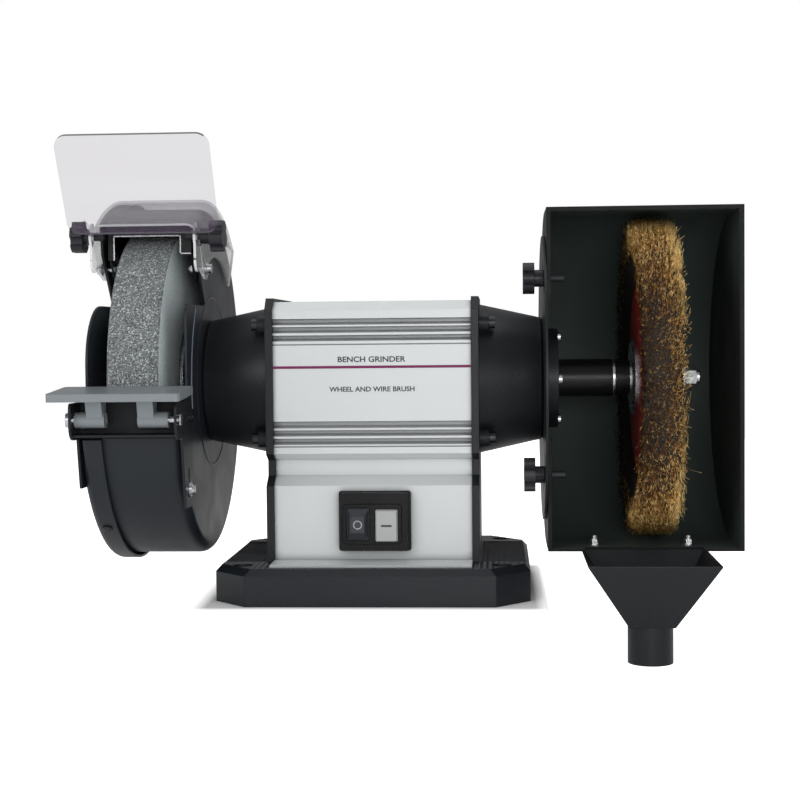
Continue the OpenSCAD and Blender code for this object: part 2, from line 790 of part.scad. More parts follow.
module wheel_flange(x, dir) {
  color(C_STEEL) lathe() polygon([
    [arbor_r, x], [arbor_r + 10, x], [flange_r - 12, x + dir * 0.8], [flange_r - 12, x],
    [flange_r, x], [flange_r, x + dir * 2.5], [flange_r - 8, x + dir * 4.5],
    [arbor_r, x + dir * 4.5]]);
}
module wheel_flange_inner() {
  wheel_flange(wheel_x1 + blotter_t, 1);
  color(C_STEEL) ring(wheel_x1 + blotter_t + 4.4, -152, 16, arbor_r);
}
module wheel_flange_outer() { wheel_flange(wheel_x0 - blotter_t, -1); }

module spindle_nut(x0, x1, flats, r) {
  color(C_STEEL) difference() {
    intersection() {
      hex_bar(x0, x1, flats);
      lathe() polygon([[0, x0], [flats * 0.5, x0], [flats * 0.58, x0 + 1.2],
                       [flats * 0.58, x1 - 1.2], [flats * 0.5, x1], [0, x1]]);
    }
    bar(x0 - CUT, x1 + CUT, r);
  }
}
module spindle_nut_left() { spindle_nut(wheel_x0 - blotter_t - 13.5, wheel_x0 - blotter_t - 4.5, 30, 10); }
module spindle_nut_right() { spindle_nut(nut_x0, nut_x0 + 10, 18.5, 6); }

// ---- hood, deflector and eye shield --------------------------------------------

// Front ear of the hood, which carries a knob stud and hangs down past the deflector
module hood_ear() {
  difference() {
    union() {
      translate([knob_y, knob_z]) circle(11);
      translate([knob_y + 1, knob_z - 19]) circle(9);
      link2d([knob_y - 0.5, knob_z], [knob_y + 1, knob_z - 19], 17.4);
      translate([-hood_screw[0], axis_h + hood_screw[1]]) circle(9);
      link2d([-hood_screw[0], axis_h + hood_screw[1]], [-66, axis_h + 101], 17.4);
      polygon([[knob_y - 8, knob_z - 19], [-50, axis_h + 84], [-54, axis_h + 118],
               [knob_y, knob_z + 6]]);
    }
    // room for the rounded shoulder of the hood
    difference() {
      polygon(sector(hood_low + 0.5, 100));
      translate([0, axis_h]) circle(hood_r + hood_t - hood_corner - 3);
    }
  }
}

module spark_hood() {
  corner = hood_corner;
  points = [
    [hood_cheek_r, hood_x0],
    each arc([hood_r + hood_t - corner, hood_x0 + corner], corner, -90, 0, 8),
    each arc([hood_r + hood_t - corner, hood_x1 - corner], corner, 0, 90, 8),
    [hood_cheek_r, hood_x1],
    [hood_cheek_r, hood_x1 - hood_t],
    each arc([hood_r + hood_t - corner, hood_x1 - corner], corner - hood_t, 90, 0, 8),
    each arc([hood_r + hood_t - corner, hood_x0 + corner], corner - hood_t, 0, -90, 8),
    [hood_cheek_r, hood_x0 + hood_t]
  ];
  color(C_CLEAR) difference() {
    union() {
      difference() {
        lathe() polygon(points);
        yz(hood_x0 - CUT, hood_x1 + CUT) polygon(sector(hood_high, hood_low + 360, 24));
      }
      for (x = [hood_x0 + ear_inset, hood_x1 - hood_t - ear_inset]) yz(x, x + hood_t) hood_ear();
    }
    bar(hood_x0 - CUT, hood_x1 + CUT, 3.2, knob_y, knob_z);
    bar(hood_x0 - CUT, hood_x1 + CUT, 2.6, -hood_screw[0], axis_h + hood_screw[1]);
  }
}

// One hood screw: head and washer outside the hood, a spacer tube between hood and guard, and
// a nut inside the deflector. The outside points along dir, and nut_x is where the nut starts.
module hood_screw(hood_x, wall_x, nut_x, dir) {
  reach = abs(hood_x - nut_x);
  room = abs(hood_x - wall_x);
  translate([hood_x, -hood_screw[0], axis_h + hood_screw[1]]) rotate([0, 90 * dir, 0]) {
    cylinder(r = 5, h = 1);
    cylinder(r = 3.8, h = 4.2);
    translate([0, 0, -reach - 5]) cylinder(r = 2.3, h = reach + 6);
    translate([0, 0, -reach - 3.6]) cylinder(r = 4.2, h = 3.6, $fn = 6);
    translate([0, 0, -room]) cylinder(r = 4.5, h = room - hood_t - ear_inset);
  }
}

module hood_screws() {
  color(C_STEEL) {
    hood_screw(hood_x1, guard_x1, deflector_x1 - deflector_t - gap, 1);
    hood_screw(hood_x0, cover_x0, deflector_x0 + deflector_t + gap, -1);
  }
}

module spark_deflector() {
  z = axis_h + hood_screw[1];
  color(C_BLACK) difference() {
    union() {
      // face plate with a notch for the wheel
      difference() {
        translate([deflector_x0, deflector_y, axis_h + 98])
          cube([deflector_x1 - deflector_x0, deflector_t, 32]);
        translate([notch_x0, deflector_y - CUT, axis_h + 98 - CUT])
          cube([notch_x1 - notch_x0, deflector_t + 2 * CUT, 18.5 + CUT]);
        translate([notch_x1 - CUT, deflector_y - CUT, axis_h + 98 - CUT])
          cube([20, deflector_t + 2 * CUT, 5 + CUT]);
      }
      // side flanges
      for (x = [deflector_x0, deflector_x1 - deflector_t]) yz(x, x + deflector_t)
        polygon([[deflector_y, axis_h + 104], [-54, axis_h + 84], [-38, axis_h + 84],
                 [-38, axis_h + 112], [deflector_y, axis_h + 118]]);
    }
    // adjusting slots
    yz(deflector_x0 - CUT, deflector_x1 + CUT)
      slot2d([-hood_screw[0], z - 0.5], [-hood_screw[0], z + 9], 2.7);
  }
}

module eye_shield() {
  lug_left = hood_x0 - gap - lug_t;
  lug_right = hood_x1 + gap;
  color(C_CLEAR) difference() {
    translate([0, knob_y, knob_z]) rotate([pane_lean, 0, 0]) {
      // pane
      translate([pane_x, -pane_off, pane_h / 2 + pane_low]) rotate([90, 0, 0])
        linear_extrude(pane_t) round_rect(pane_w, pane_h, 10);
      // lugs that reach back to the knob studs
      for (x = [lug_left, lug_right]) yz(x, x + lug_t) {
        circle(8);
        polygon([[-pane_off, 20], [-pane_off, 12], [-7.5, -2.7], [5, 6.2], [-pane_off + 3, 19]]);
      }
    }
    bar(lug_left - CUT, lug_right + lug_t + CUT, 3.2, knob_y, knob_z);
  }
}

module shield_knob_left() {
  color(C_BLACK) star_knob(hood_x0 - 2 * gap - lug_t, knob_y, knob_z, -1, 3, 9.5, 12.5, 2.9, 12);
}
module shield_knob_right() {
  color(C_BLACK) star_knob(hood_x1 + 2 * gap + lug_t, knob_y, knob_z, 1, 8, 10.5, 12.5, 2.9, 12);
}

// ---- tool rest -------------------------------------------------------------------

// Side of the bracket in (Y, Z): a cheek with a leg that follows the guard down to leg_z
module bracket_side(leg_z) {
  top = rest_pivot[1] + cheek_h;
  bottom = rest_pivot[1] - cheek_h - bracket_t;
  slope = 0.2;           // how far the front of the leg leans back for each millimetre down
  polygon(concat(
    [[cheek_rear, top]],
    arc([cheek_front + 4, top - 4], 4, 90, 180, 8),
    arc([cheek_front + 10, bottom + 10], 10, 180, 270, 10),
    [[-140, bottom], [-140 + slope * (bottom - leg_z), leg_z], [cheek_rear, leg_z]]));
}

module rest_bracket() {
  slot_a = [rest_pivot[0] - rest_travel, rest_pivot[1]];
  left_x = bracket_left - bracket_t;
  span = guard_x1 + bracket_t - left_x;
  top = rest_pivot[1] + cheek_h;
  color(C_CAST) {
    for (side = [[left_x, leg_left_z], [guard_x1, leg_right_z]])
      yz(side[0], side[0] + bracket_t) difference() {
        bracket_side(side[1]);
        slot2d(slot_a, rest_pivot, 3.3);
        for (y = bracket_screw_y) translate([y, rest_pivot[1]]) circle(2.6);
        // adjusting slot and screw hole of the longer leg
        if (side[0] == guard_x1) {
          slot2d([dome_screw[0] - 2, dome_screw[1] + 9], [dome_screw[0] - 2, dome_screw[1] + 14], 2.5);
          translate(dome_screw) circle(2.5);
        }
      }
    // strip under the barrels and web behind them
    translate([left_x, cheek_front + 5, strip_z]) cube([span, web_y + 2 - cheek_front - 5, bracket_t]);
    translate([left_x, web_y, strip_z]) cube([span, bracket_t, top - strip_z]);
  }
}

module bracket_screws() {
  color(C_BLACK) for (y = bracket_screw_y) {
    cap_screw(guard_x1 + bracket_t, y, rest_pivot[1], 1, 4.2, 1.2, 2.5, 8);
    cap_screw(bracket_left - bracket_t, y, rest_pivot[1], -1, 4.2, 1.2, 2.5, 8);
  }
}

// Two short pins on the tilting axis: a round head on the left, a square one on the right
module rest_pins() {
  x0 = bracket_left - bracket_t;
  x1 = guard_x1 + bracket_t;
  color(C_STEEL) {
    bar(x0 - 0.6, x0 + 19, 3, rest_pivot[0], rest_pivot[1]);
    bar(x0 - 4.5, x0 - 0.3, 5.5, rest_pivot[0], rest_pivot[1]);
    bar(x1 - 22, x1 + 0.5, 3, rest_pivot[0], rest_pivot[1]);
    translate([x1 + 0.3, rest_pivot[0] - 4, rest_pivot[1] - 4]) cube([1, 8, 8]);
  }
}

module tool_rest() {
  lug_w = 12.2;
  color(C_REST) difference() {
    union() {
      translate([0, rest_pivot[0], rest_pivot[1]]) rotate([rest_tilt, 0, 0]) {
        translate([rest_x0 + rest_l / 2, rest_back - rest_d / 2, rest_low])
          linear_extrude(rest_t) round_rect(rest_l, rest_d, 3);
        // lugs between the plate and the barrels
        for (x = [-206.5, -167.7]) yz(x, x + lug_w)
          polygon([[-5.2, 1], [-9, rest_low + 0.5], [9, rest_low + 0.5], [5.2, 1]]);
      }
      for (x = [[-216, -193], [-168, -145]])
        bar(x[0], x[1], barrel_r, rest_pivot[0], rest_pivot[1]);
    }
    bar(rest_x0 - CUT, rest_x0 + rest_l + CUT, 3.05, rest_pivot[0], rest_pivot[1]);
  }
}

// ---- box guard --------------------------------------------------------------------

// Outline of a box side in (Y, Z), shrunk by g, reaching the given front
module box_side(g, front) {
  r = box_r - g;
  difference() {
    translate([0, axis_h]) circle(r);
    translate([-2 * r, axis_h - r - CUT]) square([2 * r, 2 * r + 2 * CUT]);
  }
  translate([-front, axis_h - r]) square([front, 2 * r]);
}

module guard_disc() {
  color(C_CAST) difference() {
    bar(disc_x, disc_x + disc_t, disc_r);
    bar(disc_x - CUT, disc_x + disc_t + CUT, 20);
    guard_holes(disc_x - CUT, disc_x + disc_t + CUT, small_screw_r, 0);
    // curved slots for the knob studs
    for (i = [0, 1]) box_slot(i);
  }
}

// Curved slot in the disc: 15 degrees of travel to each side of a knob stud
module box_slot(i) {
  r = norm([box_knob_y, box_knob_z[i]]);
  middle = atan2(box_knob_z[i], box_knob_y);
  intersection() {
    difference() {
      bar(disc_x - CUT, disc_x + disc_t + CUT, r + 3.6);
      bar(disc_x - 2 * CUT, disc_x + disc_t + 2 * CUT, r - 3.6);
    }
    yz(disc_x - CUT, disc_x + disc_t + CUT) polygon(sector(middle - 18, middle + 18, 6));
  }
}

module guard_collar() {
  x0 = disc_x + disc_t;
  color(C_CAST) difference() {
    ring(x0, x0 + collar_l, collar_r, 20);
    guard_holes(x0 - CUT, x0 + collar_l + CUT, small_screw_r, 0);
  }
}

module collar_screws() {
  x = disc_x + disc_t + collar_l;
  color(C_STEEL) for (i = [0:3]) let (a = 90 * i)
    cap_screw(x, small_screw_pcr * cos(a), axis_h + small_screw_pcr * sin(a), 1, 4.2, 3,
              small_screw_r - 0.05, collar_l + disc_t + small_screw_l - 0.5);
}

module box_guard() {
  floor_z = axis_h - box_r;
  wall_x1 = box_x0 + box_t + hem_t;
  color(C_CAST) difference() {
    union() {
      difference() {
        yz(box_x0, box_x1) box_side(0, box_front);
        yz(box_x0 + box_t, box_x1 - box_t) box_side(box_t, box_front + CUT);
      }
      // folded hems along the front edges of the side walls and the top
      for (x = [box_x0 + box_t - 0.1, box_x1 - box_t - hem_t + 0.1])
        translate([x, -box_front, floor_z + box_t - 0.1])
          cube([hem_t, hem_w, 2 * box_r - 2 * box_t + 0.2]);
      translate([box_x0 + box_t, -box_front, axis_h + box_r - box_t - hem_t + 0.1])
        cube([box_x1 - box_x0 - 2 * box_t, hem_w, hem_t]);
    }
    // slot that passes over the collar, and the holes of the knob studs
    bar(box_x0 - CUT, wall_x1, box_slot_w);
    translate([box_x0 - CUT, -box_front - CUT, axis_h - box_slot_w + 0.3])
      cube([wall_x1 - box_x0 + CUT, box_front + CUT, 2 * box_slot_w - 0.6]);
    for (z = box_knob_z) bar(box_x0 - CUT, wall_x1, 3, -box_knob_y, axis_h + z);
    // opening in the floor above the chute
    translate([chute_x0 + 2, -box_front - CUT, floor_z - CUT])
      cube([chute_x1 - chute_x0 - 4, box_front + chute_y1 + CUT, box_t + 2 * CUT]);
    for (x = chute_bolt_x) translate([x, chute_bolt_y, floor_z - CUT])
      cylinder(r = 2.6, h = box_t + 2 * CUT);
  }
}

// Funnel under the box, open at the top and ending in a round spout
module dust_chute() {
  z1 = axis_h - box_r;
  color(C_CAST) difference() {
    union() {
      hull() {
        translate([chute_x0, chute_y0, z1 - 1])
          cube([chute_x1 - chute_x0, chute_y1 - chute_y0, 1]);
        translate([spout_c[0] - spout_r, spout_c[1] - spout_r, spout_top])
          cube([2 * spout_r, 2 * spout_r, 0.1]);
      }
      translate([chute_x0, chute_y1 - CUT, z1 - chute_t])
        cube([chute_x1 - chute_x0, chute_flange + CUT, chute_t]);
      translate([spout_c[0], spout_c[1], spout_bottom])
        cylinder(r = spout_r, h = spout_top - spout_bottom + 1);
    }
    hull() {
      translate([chute_x0 + chute_t, chute_y0 + chute_t, z1])
        cube([chute_x1 - chute_x0 - 2 * chute_t, chute_y1 - chute_y0 - 2 * chute_t, 0.1]);
      translate([spout_c[0] - spout_r + chute_t, spout_c[1] - spout_r + chute_t, spout_top + 0.9])
        cube([2 * spout_r - 2 * chute_t, 2 * spout_r - 2 * chute_t, 0.1]);
    }
    translate([spout_c[0], spout_c[1], spout_bottom - CUT])
      cylinder(r = spout_r - chute_t, h = spout_top - spout_bottom + 20);
    for (x = chute_bolt_x) translate([x, chute_bolt_y, z1 - 5]) cylinder(r = 2.6, h = 10);
  }
}

module chute_bolts() {
  z1 = axis_h - box_r;
  color(C_STEEL) for (x = chute_bolt_x) translate([x, chute_bolt_y, 0]) {
    translate([0, 0, z1 - chute_t - 3]) cylinder(r = 4.4, h = 3, $fn = 6);
    translate([0, 0, z1 - chute_t - 1]) cylinder(r = 2.5, h = chute_t + box_t + 9);
    translate([0, 0, z1 + box_t]) cylinder(r = 5, h = 1);
    translate([0, 0, z1 + box_t + 1]) cylinder(r = 4.4, h = 4, $fn = 6);
  }
}

module box_knob(i, turn) {
  color(C_BLACK) star_knob(disc_x - gap, -box_knob_y, axis_h + box_knob_z[i], -1, 7, 9, 13.5,
                           2.9, 16.8, 4, turn);
}
module box_knob_upper() { box_knob(0, 45); }
module box_knob_lower() { box_knob(1, 0); }

// ---- brush and its clamping ----------------------------------------------------------

module spacer_tube() {
  color(C_BLACK) ring(bearing_x + bearing_w, tube_x1, tube_r, seat_r_right);
}

module lock_ring() {
  color(C_STEEL) ring(tube_x1, lock_ring_x1, tube_r + 0.3, seat_r_right);
}
module brush_collar() {
  color(C_BLACK) ring(lock_ring_x1, collar_x1, tube_r - 1, seat_r_right);
}

hub_x0 = brush_x - hub_w / 2;
hub_x1 = brush_x + hub_w / 2;

module brush_flange(x_hub, x_face, dir) {
  color(C_STEEL) {
    lathe() polygon([[seat_r_right, x_hub], [14, x_hub], [14, x_face - dir * 5],
      [brush_flange_r - 2, x_face - dir * 5], [brush_flange_r, x_face - dir * 3],
      [brush_flange_r, x_face], [seat_r_right, x_face]]);
  }
}
module brush_flange_inner() { brush_flange(collar_x1, hub_x0, 1); }
module brush_flange_outer() { brush_flange(nut_x0, hub_x1, -1); }

module brush_hub() {
  disc = 1.6;
  color(C_RED) lathe() polygon([
    [seat_r_right, hub_x0], [hub_r - 3, hub_x0], [hub_r, hub_x0 + 0.6], [hub_r, hub_x0 + disc],
    [58, hub_x0 + disc], [58, hub_x1 - disc],
    [hub_r, hub_x1 - disc], [hub_r, hub_x1 - 0.6], [hub_r - 3, hub_x1], [seat_r_right, hub_x1]]);
}

module brush_wires() {
  inner = hub_w / 2 - 1.6;
  outer = brush_w / 2;
  color(C_BRASS) lathe() polygon([
    [58, brush_x - inner], [hub_r, brush_x - inner], [hub_r + 14, brush_x - outer + 2],
    [hub_r + 30, brush_x - outer], [brush_r - 3, brush_x - outer], [brush_r, brush_x - outer + 4],
    [brush_r, brush_x + outer - 4], [brush_r - 3, brush_x + outer], [hub_r + 30, brush_x + outer],
    [hub_r + 14, brush_x + outer - 2], [hub_r, brush_x + inner], [58, brush_x + inner]]);
}

// ---- assembly ----------------------------------------------------------------------

base();
foot_screws();
motor_housing();
end_plate_left();
end_plate_right();
end_bell_left();
end_bell_right();
end_bell_screws();
bearing_outer_left();
bearing_outer_right();
bearing_inner_left();
bearing_inner_right();
wave_washer();
stator_core();
stator_windings();
rotor_core();
spindle();
capacitor();
capacitor_clip();
terminal_block();
cable_gland();
switch_housing();
switch_bezel();
off_button();
on_button();
guard_shell();
guard_cover();
cover_screws();
guard_screws();
grinding_wheel();
wheel_blotters();
wheel_flange_inner();
wheel_flange_outer();
spindle_nut_left();
spark_hood();
hood_screws();
spark_deflector();
eye_shield();
shield_knob_left();
shield_knob_right();
rest_bracket();
rest_pins();
tool_rest();
bracket_screws();
guard_disc();
guard_collar();
collar_screws();
box_guard();
dust_chute();
chute_bolts();
box_knob_upper();
box_knob_lower();
spacer_tube();
lock_ring();
brush_collar();
brush_flange_inner();
brush_hub();
brush_wires();
brush_flange_outer();
spindle_nut_right();
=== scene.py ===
"""Bench grinder: looks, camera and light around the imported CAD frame."""

import math

import bmesh
import bpy
import numpy as np
from mathutils import Matrix, Vector


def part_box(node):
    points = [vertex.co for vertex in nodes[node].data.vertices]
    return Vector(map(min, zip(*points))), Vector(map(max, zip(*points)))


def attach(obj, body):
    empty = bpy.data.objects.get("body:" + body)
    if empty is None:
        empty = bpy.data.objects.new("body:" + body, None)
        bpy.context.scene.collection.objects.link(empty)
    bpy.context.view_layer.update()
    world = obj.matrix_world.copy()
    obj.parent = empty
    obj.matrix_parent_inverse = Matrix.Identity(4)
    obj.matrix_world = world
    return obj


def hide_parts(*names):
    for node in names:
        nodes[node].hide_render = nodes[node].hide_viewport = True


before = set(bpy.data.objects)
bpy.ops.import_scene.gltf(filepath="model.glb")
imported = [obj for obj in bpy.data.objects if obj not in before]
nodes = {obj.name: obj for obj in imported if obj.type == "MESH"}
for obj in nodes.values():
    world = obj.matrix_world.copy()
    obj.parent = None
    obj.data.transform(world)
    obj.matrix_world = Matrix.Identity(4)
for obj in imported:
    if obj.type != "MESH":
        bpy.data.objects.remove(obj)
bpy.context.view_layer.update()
MM = 0.001

# ---- places worked out from the frame --------------------------------------

wheel_low, wheel_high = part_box("grinding_wheel")
AXIS_Z = (wheel_low.z + wheel_high.z) / 2


# ---- node helpers -----------------------------------------------------------

class Shader:
    """A material under construction: short calls that add and link nodes."""

    def __init__(self, name):
        self.mat = bpy.data.materials.new(name)
        self.mat.use_nodes = True
        self.tree = self.mat.node_tree
        self.tree.nodes.clear()
        self.out = self.add("ShaderNodeOutputMaterial")
        self.bsdf = self.add("ShaderNodeBsdfPrincipled")
        self.link(self.bsdf.outputs[0], self.out.inputs["Surface"])
        self.coord = self.add("ShaderNodeTexCoord").outputs["Object"]

    def add(self, kind, **values):
        node = self.tree.nodes.new(kind)
        for key, value in values.items():
            setattr(node, key, value)
        return node

    def link(self, a, b):
        self.tree.links.new(a, b)

    def put(self, socket, value):
        """Links an output, or sets a constant, on an input of the principled shader."""
        target = self.bsdf.inputs[socket]
        if isinstance(value, bpy.types.NodeSocket):
            self.link(value, target)
        else:
            target.default_value = value

    def noise(self, scale, detail=3.0, rough=0.5, stretch=None):
        node = self.add("ShaderNodeTexNoise")
        node.inputs["Scale"].default_value = scale
        node.inputs["Detail"].default_value = detail
        node.inputs["Roughness"].default_value = rough
        self.link(self.stretched(stretch), node.inputs["Vector"])
        return node.outputs["Fac"]

    def cells(self, scale):
        """Random red, green and blue numbers for each cell of a Voronoi pattern."""
        node = self.add("ShaderNodeTexVoronoi")
        node.inputs["Scale"].default_value = scale
        self.link(self.coord, node.inputs["Vector"])
        numbers = self.add("ShaderNodeSeparateColor")
        self.link(node.outputs["Color"], numbers.inputs[0])
        return numbers.outputs

    def stretched(self, scale):
        if scale is None:
            return self.coord
        node = self.add("ShaderNodeMapping")
        node.inputs["Scale"].default_value = scale
        self.link(self.coord, node.inputs["Vector"])
        return node.outputs[0]

    def ramp(self, fac, stops):
        """A colour ramp; stops are (position, grey or rgb)."""
        node = self.add("ShaderNodeValToRGB")
        while len(node.color_ramp.elements) < len(stops):
            node.color_ramp.elements.new(0.5)
        for element, (position, colour) in zip(node.color_ramp.elements, stops):
            rgb = (colour,) * 3 if isinstance(colour, (int, float)) else colour
            element.position = position
            element.color = (*rgb, 1)
        self.link(fac, node.inputs["Fac"])
        return node.outputs["Color"]

    def mix(self, fac, a, b):
        node = self.add("ShaderNodeMix", data_type="RGBA")
        for socket, value in ((node.inputs[0], fac), (node.inputs[6], a), (node.inputs[7], b)):
            if isinstance(value, bpy.types.NodeSocket):
                self.link(value, socket)
            else:
                socket.default_value = value if isinstance(value, (int, float)) else (*value, 1)
        return node.outputs[2]

    def math(self, operation, a, b=0.0):
        node = self.add("ShaderNodeMath", operation=operation)
        for socket, value in zip(node.inputs, (a, b)):
            if isinstance(value, bpy.types.NodeSocket):
                self.link(value, socket)
            else:
                socket.default_value = value
        return node.outputs[0]

    def vector(self, operation, a, b=None):
        """Vector math; dot products and lengths come back as a number."""
        node = self.add("ShaderNodeVectorMath", operation=operation)
        for socket, value in ((node.inputs[0], a), (node.inputs[1], b)):
            if isinstance(value, bpy.types.NodeSocket):
                self.link(value, socket)
            elif value is not None:
                socket.default_value = value
        return node.outputs["Value" if operation in ("DOT_PRODUCT", "LENGTH") else "Vector"]

    def rounded(self, radius):
        """A normal that rounds sharp edges, so that they catch the light."""
        node = self.add("ShaderNodeBevel", samples=4)
        node.inputs["Radius"].default_value = radius
        return node.outputs[0]

    def bump(self, height, strength, distance, under=None):
        node = self.add("ShaderNodeBump")
        node.inputs["Strength"].default_value = strength
        node.inputs["Distance"].default_value = distance
        self.link(height, node.inputs["Height"])
        if under is not None:
            self.link(under, node.inputs["Normal"])
        return node.outputs[0]


def scaled(colour, k):
    return tuple(min(1, c * k) for c in colour)


def coat(name, colour, rough=0.42, grain=900, depth=0.00012, worn=0.08, spec=0.3, edge=0.0008,
         groove_shade=0.0):
    """Sprayed or powder-coated metal: orange peel, faint dust and cloudy colour; given a groove
    distance, painted shade darkens the colour in grooves and recesses.
    """
    s = Shader(name)
    cloud = s.noise(9, 4)
    base = s.mix(cloud, scaled(colour, 1 - worn), scaled(colour, 1 + worn))
    dust = s.ramp(s.noise(60, 6, 0.7), [(0.60, 0.0), (0.80, 0.12)])
    dusted = s.mix(dust, base, scaled(colour, 1.6))
    if groove_shade:
        # Painted shade: ambient occlusion darkens the colour to 30 percent in grooves and recesses.
        occlusion = s.add("ShaderNodeAmbientOcclusion", samples=6)
        occlusion.inputs["Distance"].default_value = groove_shade
        groove_shade_mask = s.ramp(occlusion.outputs["AO"], [(0.35, 0.0), (0.85, 1.0)])
        dusted = s.mix(groove_shade_mask, scaled(colour, 0.30), dusted)
    s.put("Base Color", dusted)
    s.put("Roughness", s.ramp(s.noise(25, 5), [(0.25, rough - 0.05), (0.75, rough + 0.08)]))
    s.put("Specular IOR Level", spec)
    s.put("Normal", s.bump(s.noise(grain, 2, 0.4), 0.35, depth, s.rounded(edge)))
    return s.mat


def plastic(name, colour, rough=0.45, grain=1500, spec=0.35, edge=0.0006):
    s = Shader(name)
    s.put("Base Color", s.mix(s.noise(14, 4), scaled(colour, 0.9), scaled(colour, 1.1)))
    s.put("Roughness", s.ramp(s.noise(40, 4), [(0.3, rough - 0.05), (0.7, rough + 0.08)]))
    s.put("Specular IOR Level", spec)
    s.put("Normal", s.bump(s.noise(grain, 2), 0.2, 0.00008, s.rounded(edge)))
    return s.mat


def metal(name, colour, rough=0.28, brushed=(1, 1, 1), scale=500):
    s = Shader(name)
    lines = s.noise(scale, 3, 0.6, brushed)
    s.put("Base Color", s.mix(s.noise(30, 4), scaled(colour, 0.85), colour))
    s.put("Metallic", 1.0)
    s.put("Roughness", s.ramp(lines, [(0.3, rough - 0.08), (0.7, rough + 0.12)]))
    s.put("Normal", s.bump(lines, 0.15, 0.00005, s.rounded(0.0005)))
    return s.mat


def ink(name, colour):
    """Printed ink: flat colour with a slightly uneven lay."""
    s = Shader(name)
    s.put("Base Color", s.mix(s.noise(200, 3), scaled(colour, 0.88), scaled(colour, 1.12)))
    s.put("Roughness", 0.5)
    s.put("Specular IOR Level", 0.2)
    return s.mat


M_CAST = coat("cast_coat", (0.0095, 0.0112, 0.0138), 0.40, 520, 0.00034, spec=0.24)
M_GUARD = coat("guard_coat", (0.0125, 0.0155, 0.0200), 0.40, 800, 0.00016, spec=0.28)
# Painted highlight: a pale, glossy version of the guard coat for the crease.
M_CREASE_HIGHLIGHT = coat("crease_painted_highlight", (0.10, 0.13, 0.17), 0.22, 800, 0.00010, spec=0.8)
M_BLACK = coat("black_coat", (0.006, 0.006, 0.0065), 0.36, 900, spec=0.25)
# The housing's fins get painted shade in their grooves.
M_BODY = coat("body_coat", (0.58, 0.605, 0.61), 0.32, 1200, 0.00004, 0.02, spec=0.5, edge=0.0007,
              groove_shade=0.008)
M_REST = coat("rest_coat", (0.185, 0.207, 0.218), 0.32, 1100, 0.00005, 0.04, spec=0.5)
M_RED = coat("hub_red", (0.26, 0.010, 0.013), 0.40, 1000, 0.00005, 0.15)
M_STEEL = metal("zinc_steel", (0.60, 0.61, 0.63))
M_DARK_STEEL = metal("blackened_steel", (0.05, 0.05, 0.055), 0.35)
M_LAM = metal("lamination", (0.35, 0.36, 0.38), 0.4, (40, 1, 1))
M_COPPER = metal("winding_copper", (0.55, 0.22, 0.08), 0.3)
M_PLASTIC = plastic("black_plastic", (0.0030, 0.0030, 0.0032), 0.26, spec=0.22)
M_KNOB = plastic("knob_plastic", (0.010, 0.010, 0.014), 0.40)
M_OFF = plastic("off_plastic", (0.017, 0.019, 0.025), 0.22, spec=0.6, edge=0.0010)
M_ON = plastic("on_plastic", (0.36, 0.375, 0.37), 0.35)
M_CREAM = plastic("cream_plastic", (0.7, 0.65, 0.5))
M_PAPER = plastic("blotter_paper", (0.13, 0.14, 0.14), 0.8)
M_NUT = metal("rough_nut", (0.34, 0.37, 0.36), 0.5)
M_INK_DARK = ink("ink_dark", (0.050, 0.048, 0.055))
M_INK_PURPLE = ink("ink_purple", (0.165, 0.018, 0.085))
M_INK_PALE = ink("ink_pale", (0.40, 0.40, 0.44))


def grit_material():
    """Bonded abrasive: fine angular grains of several greys; its flat sides are painted paler than
    its rim, painted light for the light that falls on them.
    """
    s = Shader("wheel_grit")
    grain = s.cells(1150)
    tone = s.ramp(grain[0], [(0.0, (0.030, 0.034, 0.035)), (0.30, (0.125, 0.136, 0.138)),
                                     (0.80, (0.225, 0.243, 0.243)), (1.0, (0.60, 0.64, 0.64))])
    rim = s.mix(s.math("MULTIPLY", s.noise(14, 4), 0.35), tone, (0.155, 0.17, 0.172))
    # Painted light: the flat sides, which face along the spindle, get a much paler colour than the
    # rim.
    painted_lit_side = s.mix(grain[0], (0.50, 0.58, 0.58), (0.78, 0.86, 0.86))
    facing = s.math("ABSOLUTE", s.vector("DOT_PRODUCT", object_normal(s), (1, 0, 0)))
    s.put("Base Color", s.mix(s.math("GREATER_THAN", facing, 0.8), rim, painted_lit_side))
    s.put("Roughness", 0.85)
    s.put("Specular IOR Level", 0.3)
    s.put("Normal", s.bump(grain[1], 0.45, 0.0003, s.bump(s.noise(1800, 3), 0.4, 0.0002)))
    return s.mat


def clear_material(name, flat, colour, alpha, edge_colour, edge_alpha, streaks=0.05):
    """Clear sheet whose cut edges are darker; flat(s) gives 1 on its broad faces, 0 on an edge."""
    s = Shader(name)
    broad = s.math("GREATER_THAN", flat(s), 0.66)
    sheet_colour = s.mix(s.noise(20, 3), scaled(colour, 0.92), colour)
    s.put("Base Color", s.mix(broad, edge_colour, sheet_colour))
    s.put("Roughness", s.ramp(s.noise(30, 5), [(0.4, 0.06), (0.8, 0.16)]))
    s.put("Specular IOR Level", 0.45)
    smear = s.math("MULTIPLY", s.noise(40, 4, 0.5, (0.12, 1, 1)), streaks)
    mixed = s.add("ShaderNodeMix", data_type="FLOAT")
    s.link(broad, mixed.inputs[0])
    mixed.inputs[2].default_value = edge_alpha
    s.link(s.math("ADD", smear, alpha - streaks / 2), mixed.inputs[3])
    s.put("Alpha", mixed.outputs[0])
    return s.mat


def object_normal(s):
    return s.add("ShaderNodeTexCoord").outputs["Normal"]


def pane_flat(s):
    """Largest of the normal's parts along the pane's own normal and along the spindle."""
    lean = math.radians(31)
    normal = object_normal(s)
    face = (0, -math.cos(lean), -math.sin(lean))
    across = s.math("ABSOLUTE", s.vector("DOT_PRODUCT", normal, face))
    side = s.math("ABSOLUTE", s.vector("DOT_PRODUCT", normal, (1, 0, 0)))
    return s.math("MAXIMUM", across, side)


